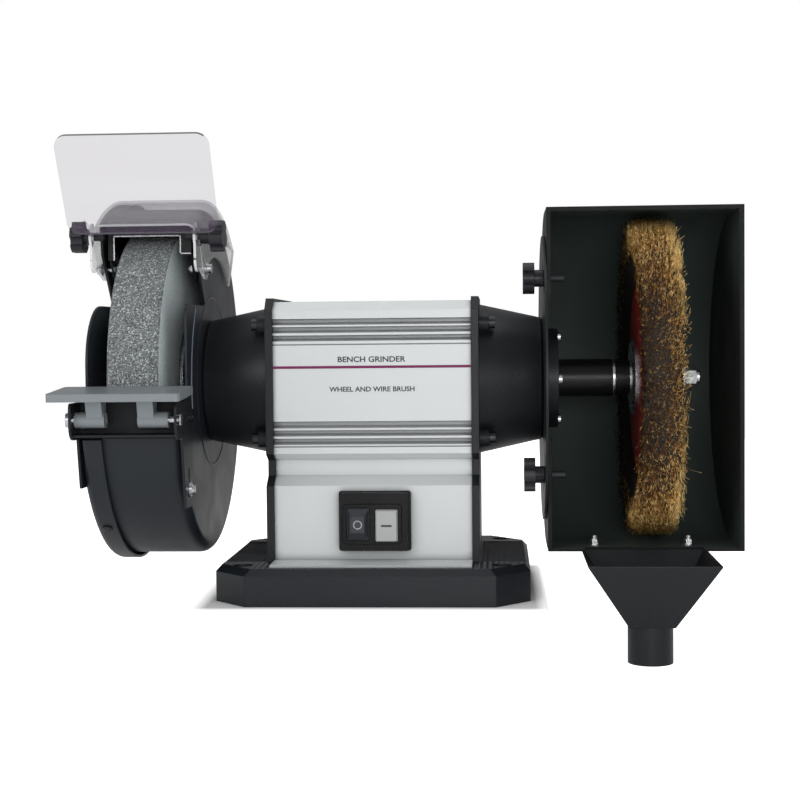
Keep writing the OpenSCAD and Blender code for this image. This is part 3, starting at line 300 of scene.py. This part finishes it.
def hood_flat(s):
    """The same for a sheet bent round the spindle."""
    normal = object_normal(s)
    spoke = s.vector("MULTIPLY", s.vector("SUBTRACT", s.coord, (0, 0, AXIS_Z)), (0, 1, 1))
    radial = s.math("ABSOLUTE", s.vector("DOT_PRODUCT", normal, s.vector("NORMALIZE", spoke)))
    side = s.math("ABSOLUTE", s.vector("DOT_PRODUCT", normal, (1, 0, 0)))
    return s.math("MAXIMUM", radial, side)


def wire_material():
    """Brass wire, painted darker towards the motor and brighter on the outer side and the ends,
    with painted glints: painted shade and painted light.
    """
    s = Shader("brass_wire")
    low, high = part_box("brush_wires")
    place = s.add("ShaderNodeSeparateXYZ")
    s.link(s.coord, place.inputs[0])
    # Painted shade and light: colour runs from dark on the motor side to bright on the outer side
    # and at the top and bottom.
    across = s.math("MULTIPLY", s.math("SUBTRACT", place.outputs["X"], low.x), 1 / (high.x - low.x))
    height = s.math("ABSOLUTE", s.math("SUBTRACT", place.outputs["Z"], AXIS_Z))
    ends = s.math("MULTIPLY", s.math("SUBTRACT", height, 0.060), 8)
    bright = s.math("MAXIMUM", s.math("SUBTRACT", s.math("MULTIPLY", across, 1.5), 0.55), ends)
    grain = s.math("MULTIPLY", s.math("SUBTRACT", s.noise(350, 2, 0.6), 0.50), 3.0)
    # Painted glints: random grains lifted to a bright colour.
    painted_glint = s.math("MULTIPLY", s.math("GREATER_THAN", s.cells(420)[0], 0.84), 0.9)
    s.put("Base Color", s.ramp(s.math("ADD", s.math("ADD", bright, painted_glint), grain),
                               [(0.00, (0.12, 0.052, 0.016)), (0.30, (0.36, 0.18, 0.050)),
                                (0.70, (0.76, 0.44, 0.12)), (1.0, (1.0, 0.76, 0.34))]))
    s.put("Metallic", 0.9)
    s.put("Roughness", 0.30)
    s.put("Normal", s.bump(s.noise(1500, 2), 0.3, 0.0001))
    return s.mat


def wire_shade_material():
    """Near-black colour for the core: painted shade for the depth between the wires."""
    s = Shader("painted_wire_shade")
    s.put("Base Color", s.ramp(s.noise(500, 4, 0.7),
                               [(0.35, (0.006, 0.003, 0.0015)), (0.60, (0.016, 0.009, 0.004)),
                                (0.80, (0.07, 0.04, 0.016))]))
    s.put("Roughness", 0.7)
    s.put("Normal", s.bump(s.noise(700, 3), 0.8, 0.0015))
    return s.mat


def box_material():
    """Powder coat of the box guard; the faces that look into the box are painted paler, painted
    light that lifts the shade inside the box.
    """
    s = Shader("box_coat")
    low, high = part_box("box_guard")
    centre = (low + high) / 2
    inward = s.vector("DOT_PRODUCT", object_normal(s), s.vector("SUBTRACT", tuple(centre), s.coord))
    painted_light_inside = s.math("GREATER_THAN", inward, 0.02)
    outer = s.mix(s.noise(9, 4), (0.0050, 0.0058, 0.0056), (0.0066, 0.0078, 0.0074))
    # Painted light: the inner faces get a colour about ten times paler than the outer coat.
    painted_light_inner = s.mix(s.noise(7, 4), (0.050, 0.066, 0.061), (0.064, 0.082, 0.076))
    s.put("Base Color", s.mix(painted_light_inside, outer, painted_light_inner))
    s.put("Roughness", s.ramp(s.noise(25, 5), [(0.25, 0.40), (0.75, 0.52)]))
    s.put("Specular IOR Level", 0.12)
    s.put("Normal", s.bump(s.noise(800, 2, 0.4), 0.35, 0.00012, s.rounded(0.0008)))
    return s.mat


def base_material():
    """Cast coat of the base; its level top has fine ribs for grip."""
    s = Shader("base_coat")
    wave = s.add("ShaderNodeTexWave", wave_type="BANDS", bands_direction="X", wave_profile="SIN")
    wave.inputs["Scale"].default_value = 70
    s.link(s.coord, wave.inputs["Vector"])
    up = s.add("ShaderNodeSeparateXYZ")
    s.link(object_normal(s), up.inputs[0])
    level = s.math("GREATER_THAN", up.outputs["Z"], 0.95)
    ribs = s.math("MULTIPLY", wave.outputs["Fac"], level)
    s.put("Base Color", s.mix(s.noise(9, 4), (0.0080, 0.0100, 0.0132), (0.0105, 0.0128, 0.0162)))
    s.put("Roughness", s.ramp(s.noise(25, 5), [(0.25, 0.30), (0.75, 0.44)]))
    s.put("Specular IOR Level", 0.28)
    coarse = s.bump(s.noise(420, 2, 0.4), 0.35, 0.0003, s.rounded(0.0012))
    s.put("Normal", s.bump(ribs, 0.8, 0.0012, coarse))
    return s.mat


M_BASE = base_material()
M_BOX = box_material()
M_GRIT = grit_material()
M_PANE = clear_material("clear_pane", pane_flat, (0.17, 0.13, 0.20), 0.165, (0.06, 0.06, 0.07), 0.9)
M_HOOD = clear_material("clear_hood", hood_flat, (0.50, 0.51, 0.50), 0.36, (0.72, 0.73, 0.74), 0.85,
                        streaks=0.45)
M_WIRE = wire_material()
M_WIRE_SHADE = wire_shade_material()

FINISH = {
    M_CAST: ["end_plate_left", "end_plate_right", "end_bell_left", "end_bell_right",
             "guard_disc", "guard_collar", "rest_bracket", "dust_chute"],
    M_GUARD: ["guard_shell", "guard_cover"],
    M_BOX: ["box_guard"],
    M_BASE: ["base"],
    M_BODY: ["motor_housing"],
    M_BLACK: ["spark_deflector", "spacer_tube", "brush_collar"],
    M_DARK_STEEL: ["end_bell_screws", "cover_screws", "bracket_screws"],
    M_STEEL: ["foot_screws", "bearing_outer_left", "bearing_outer_right", "bearing_inner_left",
              "bearing_inner_right", "wave_washer", "spindle", "capacitor_clip", "guard_screws",
              "wheel_flange_inner", "wheel_flange_outer", "spindle_nut_left", "hood_screws",
              "rest_pins", "collar_screws", "chute_bolts", "lock_ring", "brush_flange_inner",
              "brush_flange_outer"],
    M_NUT: ["spindle_nut_right"],
    M_LAM: ["stator_core", "rotor_core"],
    M_COPPER: ["stator_windings"],
    M_PLASTIC: ["capacitor", "cable_gland", "switch_housing", "switch_bezel"],
    M_KNOB: ["shield_knob_left", "shield_knob_right", "box_knob_upper", "box_knob_lower"],
    M_CREAM: ["terminal_block"],
    M_OFF: ["off_button"],
    M_ON: ["on_button"],
    M_GRIT: ["grinding_wheel"],
    M_PAPER: ["wheel_blotters"],
    M_HOOD: ["spark_hood"],
    M_PANE: ["eye_shield"],
    M_REST: ["tool_rest"],
    M_RED: ["brush_hub"],
    M_WIRE: ["brush_wires"],
}
for material, names in FINISH.items():
    for name in names:
        nodes[name].data.materials.clear()
        nodes[name].data.materials.append(material)

# ---- pieces ---------------------------------------------------------------------


def piece(name, data, materials, body):
    """Links a mesh as a piece that rides on a body and takes its finish from a slot."""
    for material in materials:
        data.materials.append(material)
    obj = bpy.data.objects.new(name, data)
    bpy.context.scene.collection.objects.link(obj)
    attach(obj, body)
    return obj


def sweep(path, radius, closed=False, sides=8):
    """Vertices and faces of a round tube along a path of points."""
    count = len(path)
    verts = []
    faces = []
    for i, point in enumerate(path):
        before = path[(i - 1) % count] if closed or i else point
        after = path[(i + 1) % count] if closed or i < count - 1 else point
        along = (after - before).normalized()
        side = along.orthogonal() if abs(along.x) > 0.9 else along.cross(Vector((1, 0, 0)))
        side.normalize()
        other = along.cross(side)
        for k in range(sides):
            a = 2 * math.pi * k / sides
            verts.append(point + radius * (math.cos(a) * side + math.sin(a) * other))
    for i in range(count if closed else count - 1):
        j = (i + 1) % count
        for k in range(sides):
            m = (k + 1) % sides
            faces.append((i * sides + k, i * sides + m, j * sides + m, j * sides + k))
    if not closed:
        faces.append(tuple(range(sides)))
        faces.append(tuple((count - 1) * sides + k for k in reversed(range(sides))))
    return verts, faces


def tube(name, path, radius, material, body, closed=False):
    verts, faces = sweep(path, radius, closed)
    data = bpy.data.meshes.new(name)
    data.from_pydata([tuple(v) for v in verts], [], faces)
    data.polygons.foreach_set("use_smooth", [True] * len(data.polygons))
    return piece(name, data, [material], body)


def circle(centre, radius, count=96):
    """Points of a circle round an axis along X."""
    return [centre + radius * Vector((0, math.cos(a), math.sin(a)))
            for a in (2 * math.pi * i / count for i in range(count))]


def bars(name, boxes, material, body, bevel=0.0002):
    """One piece of bevelled bars; each box is (low corner, high corner)."""
    mesh = bmesh.new()
    for low, high in boxes:
        low, high = Vector(low), Vector(high)
        size = high - low
        place = Matrix.Translation((low + high) / 2) @ Matrix.Diagonal((*size, 1))
        bmesh.ops.create_cube(mesh, size=1, matrix=place)
    bmesh.ops.bevel(mesh, geom=mesh.edges[:], offset=bevel, segments=2, affect="EDGES")
    data = bpy.data.meshes.new(name)
    mesh.to_mesh(data)
    mesh.free()
    return piece(name, data, [material], body)


def lettering(name, text, x0, x1, z0, z1, face_y, material, body):
    """Raised ink letters that fill a rectangle on a face that looks along -Y."""
    curve = bpy.data.curves.new(name, "FONT")
    curve.body = text
    curve.extrude = 0.02
    curve.offset = 0.02
    curve.resolution_u = 4
    source = bpy.data.objects.new(name + "_source", curve)
    bpy.context.scene.collection.objects.link(source)
    bpy.context.view_layer.update()
    data = bpy.data.meshes.new_from_object(source)
    bpy.data.objects.remove(source)
    xs = [v.co.x for v in data.vertices]
    ys = [v.co.y for v in data.vertices]
    kx = (x1 - x0) / (max(xs) - min(xs))
    kz = (z1 - z0) / (max(ys) - min(ys))
    for v in data.vertices:
        depth = 0.00012 if v.co.z > 0 else -0.0002
        v.co = Vector((x0 + (v.co.x - min(xs)) * kx, face_y - depth, z0 + (v.co.y - min(ys)) * kz))
    data.materials.clear()
    return piece(name, data, [material], body)


def panel_print():
    """A plain stripe and generic words on the front of the motor housing."""
    low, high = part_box("motor_housing")
    face_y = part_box("end_plate_left")[0].y + 3 * MM
    line_z = AXIS_Z + 11.6 * MM
    bars("panel_stripe", [((low.x + 0.2 * MM, face_y - 0.10 * MM, line_z - 1.05 * MM),
                           (high.x - 0.2 * MM, face_y + 0.3 * MM, line_z + 1.05 * MM))],
         M_INK_PURPLE, "stand", 0.05 * MM)
    rows = [("word_top", "BENCH GRINDER", -27, 27, 15.5, 20.0),
            ("word_middle", "WHEEL AND WIRE BRUSH", -34, 34, -8.0, -4.0)]
    for name, text, x0, x1, z0, z1 in rows:
        lettering(name, text, x0 * MM, x1 * MM, AXIS_Z + z0 * MM, AXIS_Z + z1 * MM, face_y,
                  M_INK_DARK, "stand")


def switch_marks():
    """A ring on the off button and a dash on the on button."""
    low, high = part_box("off_button")
    centre = Vector(((low.x + high.x) / 2, low.y, (low.z + high.z) / 2))
    ring = [centre + 3.1 * MM * Vector((math.cos(a), 0, math.sin(a)))
            for a in (2 * math.pi * i / 48 for i in range(48))]
    tube("off_mark", ring, 0.45 * MM, M_INK_PALE, "off_button", closed=True)
    low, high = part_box("on_button")
    x, z = (low.x + high.x) / 2, (low.z + high.z) / 2
    bars("on_mark", [((x - 4.2 * MM, low.y - 0.10 * MM, z - 0.8 * MM),
                      (x + 4.2 * MM, low.y + 0.3 * MM, z + 0.8 * MM))],
         M_INK_DARK, "on_button", 0.08 * MM)


def guard_crease():
    """The crease of the flanged front edge of the wheel guard's side wall, a thin tube coloured
    much paler than the guard coat: a painted highlight.
    """
    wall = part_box("guard_shell")[1].x
    centre = Vector((wall - 0.4 * MM, 0, AXIS_Z))
    arc = [centre + 93 * MM * Vector((0, -math.cos(a), math.sin(a)))
           for a in (math.radians(-12 + 52 * i / 40) for i in range(41))]
    tube("guard_crease", arc, 1.1 * MM, M_CREASE_HIGHLIGHT, "stand")
    bead = circle(Vector((wall - 0.9 * MM, 0, AXIS_Z)), 70 * MM)
    tube("guard_bead", bead, 1.5 * MM, M_GUARD, "stand", closed=True)


def notch_edge():
    """The bright cut edge of the notch in the spark deflector."""
    low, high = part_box("spark_deflector")
    front = low.y - 0.15 * MM
    z = AXIS_Z
    left, right, top = low.x + 4.2 * MM, high.x - 8.3 * MM, z + 116.7 * MM
    line = 1.1 * MM
    spans = [((left, z + 98 * MM), (left + line, top + line)), ((left, top), (right, top + line)),
             ((right - line, z + 102.6 * MM), (right, top + line)),
             ((right - line, z + 102.6 * MM), (high.x - 0.3 * MM, z + 102.6 * MM + line))]
    bars("notch_edge", [((a[0], front, a[1]), (b[0], low.y + 0.6 * MM, b[1])) for a, b in spans],
         M_STEEL, "deflector", 0.12 * MM)


def wire_brush():
    """A dark core, painted shade for the depth between the wires, and thousands of crimped wires
    that fan out from the hub.
    """
    random = np.random.default_rng(7)
    low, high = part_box("brush_wires")
    hub_low, hub_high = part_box("brush_hub")
    middle = (low.x + high.x) / 2
    half = (high.x - low.x) / 2
    hub_half = (hub_high.x - hub_low.x) / 2 - 1.8 * MM
    hub_r = (hub_high.z - hub_low.z) / 2
    tip_r = (high.z - low.z) / 2 + 2.5 * MM
    verts = []
    faces = []
    # core: a ring lathed from a soft profile, roughened by a wave; its near-black finish is painted
    # shade
    profile = [(hub_r - 14 * MM, -hub_half), (hub_r, -hub_half), (hub_r + 14 * MM, -half * 0.72),
               (tip_r - 20 * MM, -half * 0.84), (tip_r - 8.5 * MM, -half * 0.74),
               (tip_r - 6.5 * MM, -half * 0.3), (tip_r - 6.5 * MM, half * 0.3),
               (tip_r - 8.5 * MM, half * 0.74), (tip_r - 20 * MM, half * 0.84),
               (hub_r + 14 * MM, half * 0.72), (hub_r, hub_half), (hub_r - 14 * MM, hub_half)]
    turns = 180
    for i in range(turns):
        a = 2 * math.pi * i / turns
        for r, x in profile:
            bulge = 0.8 * MM * math.sin(7 * a + 90 * x) + 0.5 * MM * math.sin(23 * a)
            rr = r + (bulge if r > hub_r + 1 * MM else 0)
            verts.append((middle + x, rr * math.cos(a), AXIS_Z + rr * math.sin(a)))
    n = len(profile)
    for i in range(turns):
        j = (i + 1) % turns
        for k in range(n):
            m = (k + 1) % n
            faces.append((i * n + k, j * n + k, j * n + m, i * n + m))
    core_faces = len(faces)
    # wires
    count = 15000
    rings = 6
    sides = 3
    angle = random.uniform(0, 2 * math.pi, count)
    spread = random.uniform(-1, 1, count)
    lean = random.normal(0, 0.045, count)
    reach = tip_r - np.abs(random.normal(0, 2.6 * MM, count)) - 2.5 * MM * spread ** 6
    stray = random.random(count) < 0.03
    reach = np.where(stray, tip_r + random.uniform(-1, 2.5, count) * MM, reach)
    sway = np.where(stray, random.normal(1.5, 5.0, count), random.normal(0, 2.0, count)) * MM
    start = hub_r + random.uniform(8, 30, count) * MM
    phase = random.uniform(0, 2 * math.pi, count)
    crimp = random.uniform(0.7, 2.0, count) * MM
    thick = random.uniform(0.10, 0.17, count) * MM
    root_half = hub_half * 0.8
    spine = []
    for i in range(rings):
        t = i / (rings - 1)
        r = start + (reach - start) * t
        wide = root_half + np.minimum(1, (r - hub_r) / (34 * MM)) * (half - 1.5 * MM - root_half)
        x = middle + spread * wide + sway * t * t + crimp * np.sin(phase + 14 * t)
        a = angle + lean * t * t + crimp / r * np.cos(phase * 1.7 + 13 * t)
        spine.append(np.stack([x, r * np.cos(a), AXIS_Z + r * np.sin(a)], axis=1))
    spine = np.stack(spine, axis=1)
    out = np.stack([np.zeros(count), np.cos(angle), np.sin(angle)], axis=1)[:, None, :]
    along = np.array([1.0, 0, 0])[None, None, :] + 0 * out
    across = np.cross(out, along)
    shell = [spine + thick[:, None, None] * (math.cos(b) * along + math.sin(b) * across)
             for b in (2 * math.pi * k / sides for k in range(sides))]
    points = np.stack(shell, axis=2).reshape(-1, 3)
    first = len(verts)
    base = first + np.arange(count)[:, None] * rings * sides
    quads = []
    for i in range(rings - 1):
        for k in range(sides):
            m = (k + 1) % sides
            quads.append(base + np.array([[i * sides + k, i * sides + m,
                                           (i + 1) * sides + m, (i + 1) * sides + k]]))
    caps = [base + np.array([[2, 1, 0]]), base + (rings - 1) * sides + np.array([[0, 1, 2]])]
    for block in quads + caps:
        faces.extend(map(tuple, block.tolist()))
    data = bpy.data.meshes.new("brush_ring")
    data.from_pydata(verts + list(map(tuple, points.tolist())), [], faces)
    obj = piece("brush_ring", data, [M_WIRE_SHADE, M_WIRE], "rotor")
    index = np.ones(len(faces), dtype=np.int32)
    index[:core_faces] = 0
    data.polygons.foreach_set("material_index", index)
    data.polygons.foreach_set("use_smooth", np.ones(len(faces), dtype=bool))
    data.update()
    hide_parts("brush_wires")


panel_print()
switch_marks()
guard_crease()
notch_edge()
wire_brush()

# ---- camera -------------------------------------------------------------------

CAM_AT = Vector((0.1006, -1.315, 0.2076))
YAW, PITCH, ROLL = (math.radians(a) for a in (3.58, 2.26, -0.56))
forward = Vector((-math.sin(YAW) * math.cos(PITCH), math.cos(YAW) * math.cos(PITCH),
                  -math.sin(PITCH)))
right = Vector((math.cos(YAW), math.sin(YAW), 0))
up = right.cross(forward)
right, up = (right * math.cos(ROLL) + up * math.sin(ROLL),
             up * math.cos(ROLL) - right * math.sin(ROLL))
camera = bpy.data.objects.new("camera", bpy.data.cameras.new("camera"))
bpy.context.scene.collection.objects.link(camera)
camera.matrix_world = Matrix((
    (right.x, up.x, -forward.x, CAM_AT.x),
    (right.y, up.y, -forward.y, CAM_AT.y),
    (right.z, up.z, -forward.z, CAM_AT.z),
    (0, 0, 0, 1)))
camera.data.sensor_width = 36
camera.data.lens = 71.1
camera.data.clip_end = 50
bpy.context.scene.camera = camera

# ---- floor and light ------------------------------------------------------------


def floor():
    """A pale bench whose edge falls away beside the dust chute."""
    edge_x = 0.135
    drop = 0.075
    half = 3.0
    xs = [-half, -1, -0.3, 0, edge_x - 0.004]
    xs += [edge_x + 0.02 * (i / 8) for i in range(9)]
    xs += [edge_x + 0.05, 0.5, 1, half]
    mesh = bmesh.new()
    rows = []
    for y in (-half, half):
        row = []
        for x in xs:
            t = min(1, max(0, (x - edge_x) / 0.02))
            row.append(mesh.verts.new((x, y, -drop * t * t * (3 - 2 * t))))
        rows.append(row)
    for i in range(len(xs) - 1):
        mesh.faces.new((rows[0][i], rows[0][i + 1], rows[1][i + 1], rows[1][i]))
    data = bpy.data.meshes.new("bench_top")
    mesh.to_mesh(data)
    mesh.free()
    obj = bpy.data.objects.new("bench_top", data)
    bpy.context.scene.collection.objects.link(obj)
    s = Shader("bench_white")
    s.put("Base Color", s.mix(s.noise(3, 3), (0.86, 0.86, 0.86), (0.88, 0.88, 0.88)))
    s.put("Roughness", 0.8)
    s.put("Specular IOR Level", 0.0)
    s.put("Emission Color", (1, 1, 1, 1))
    # Painted light: the bench glows, fully for the camera and at a quarter for the light it throws
    # on the model, except within a few millimetres of the base, where the contact shadow stays.
    low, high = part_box("base")
    middle = ((low.x + high.x) / 2, (low.y + high.y) / 2, 0)
    beyond = s.vector("SUBTRACT", s.vector("ABSOLUTE", s.vector("SUBTRACT", s.coord, middle)),
                      ((high.x - low.x) / 2, (high.y - low.y) / 2, 0))
    outside = s.vector("MULTIPLY", s.vector("MAXIMUM", beyond, (0, 0, 0)), (1, 1, 0))
    gap = s.vector("LENGTH", outside)
    past_shadow = s.math("SUBTRACT", gap, 0.003)
    glow = s.math("MAXIMUM", s.math("MINIMUM", s.math("MULTIPLY", past_shadow, 60), 1.0), 0.0)
    seen = s.add("ShaderNodeLightPath").outputs["Is Camera Ray"]
    s.put("Emission Strength", s.math("MULTIPLY", s.math("MAXIMUM", seen, 0.25), glow))
    data.materials.append(s.mat)


floor()


def softbox(name, at, target, size, power, colour=(1, 1, 1)):
    light = bpy.data.lights.new(name, "AREA")
    light.shape = "RECTANGLE"
    light.size, light.size_y = size
    light.energy = power
    light.color = colour
    obj = bpy.data.objects.new(name, light)
    bpy.context.scene.collection.objects.link(obj)
    obj.location = at
    obj.rotation_euler = (Vector(target) - Vector(at)).to_track_quat("-Z", "Y").to_euler()


softbox("key", (-1.3, -1.8, 0.8), (0, 0, 0.15), (1.0, 1.0), 13)
softbox("front", (0.32, -1.9, 0.34), (-0.1, 0, 0.17), (0.5, 0.4), 9)
softbox("right", (1.2, -1.6, 0.5), (0, 0, 0.17), (0.6, 0.9), 2.5)
softbox("top", (0, 0.1, 1.9), (0, 0, 0.1), (1.6, 1.0), 7)


def studio():
    """White backdrop for the camera, and a dimmer, top-lit room for everything else."""
    world = bpy.data.worlds.new("studio")
    bpy.context.scene.world = world
    world.use_nodes = True
    tree = world.node_tree
    backdrop = tree.nodes["Background"]
    backdrop.inputs["Color"].default_value = (1, 1, 1, 1)
    backdrop.inputs["Strength"].default_value = 1.0
    room = tree.nodes.new("ShaderNodeBackground")
    room.inputs["Strength"].default_value = 0.62
    height = tree.nodes.new("ShaderNodeSeparateXYZ")
    ramp = tree.nodes.new("ShaderNodeValToRGB")
    ramp.color_ramp.elements[0].position = 0.35
    ramp.color_ramp.elements[0].color = (0.50, 0.50, 0.51, 1)
    ramp.color_ramp.elements[1].position = 0.95
    ramp.color_ramp.elements[1].color = (1, 1, 1, 1)
    coord = tree.nodes.new("ShaderNodeTexCoord")
    tree.links.new(coord.outputs["Generated"], height.inputs[0])
    tree.links.new(height.outputs["Z"], ramp.inputs["Fac"])
    tree.links.new(ramp.outputs["Color"], room.inputs["Color"])
    path = tree.nodes.new("ShaderNodeLightPath")
    mix = tree.nodes.new("ShaderNodeMixShader")
    tree.links.new(path.outputs["Is Camera Ray"], mix.inputs[0])
    tree.links.new(room.outputs[0], mix.inputs[1])
    tree.links.new(backdrop.outputs[0], mix.inputs[2])
    tree.links.new(mix.outputs[0], tree.nodes["World Output"].inputs[0])


studio()
bpy.context.scene.view_settings.view_transform = "Standard"
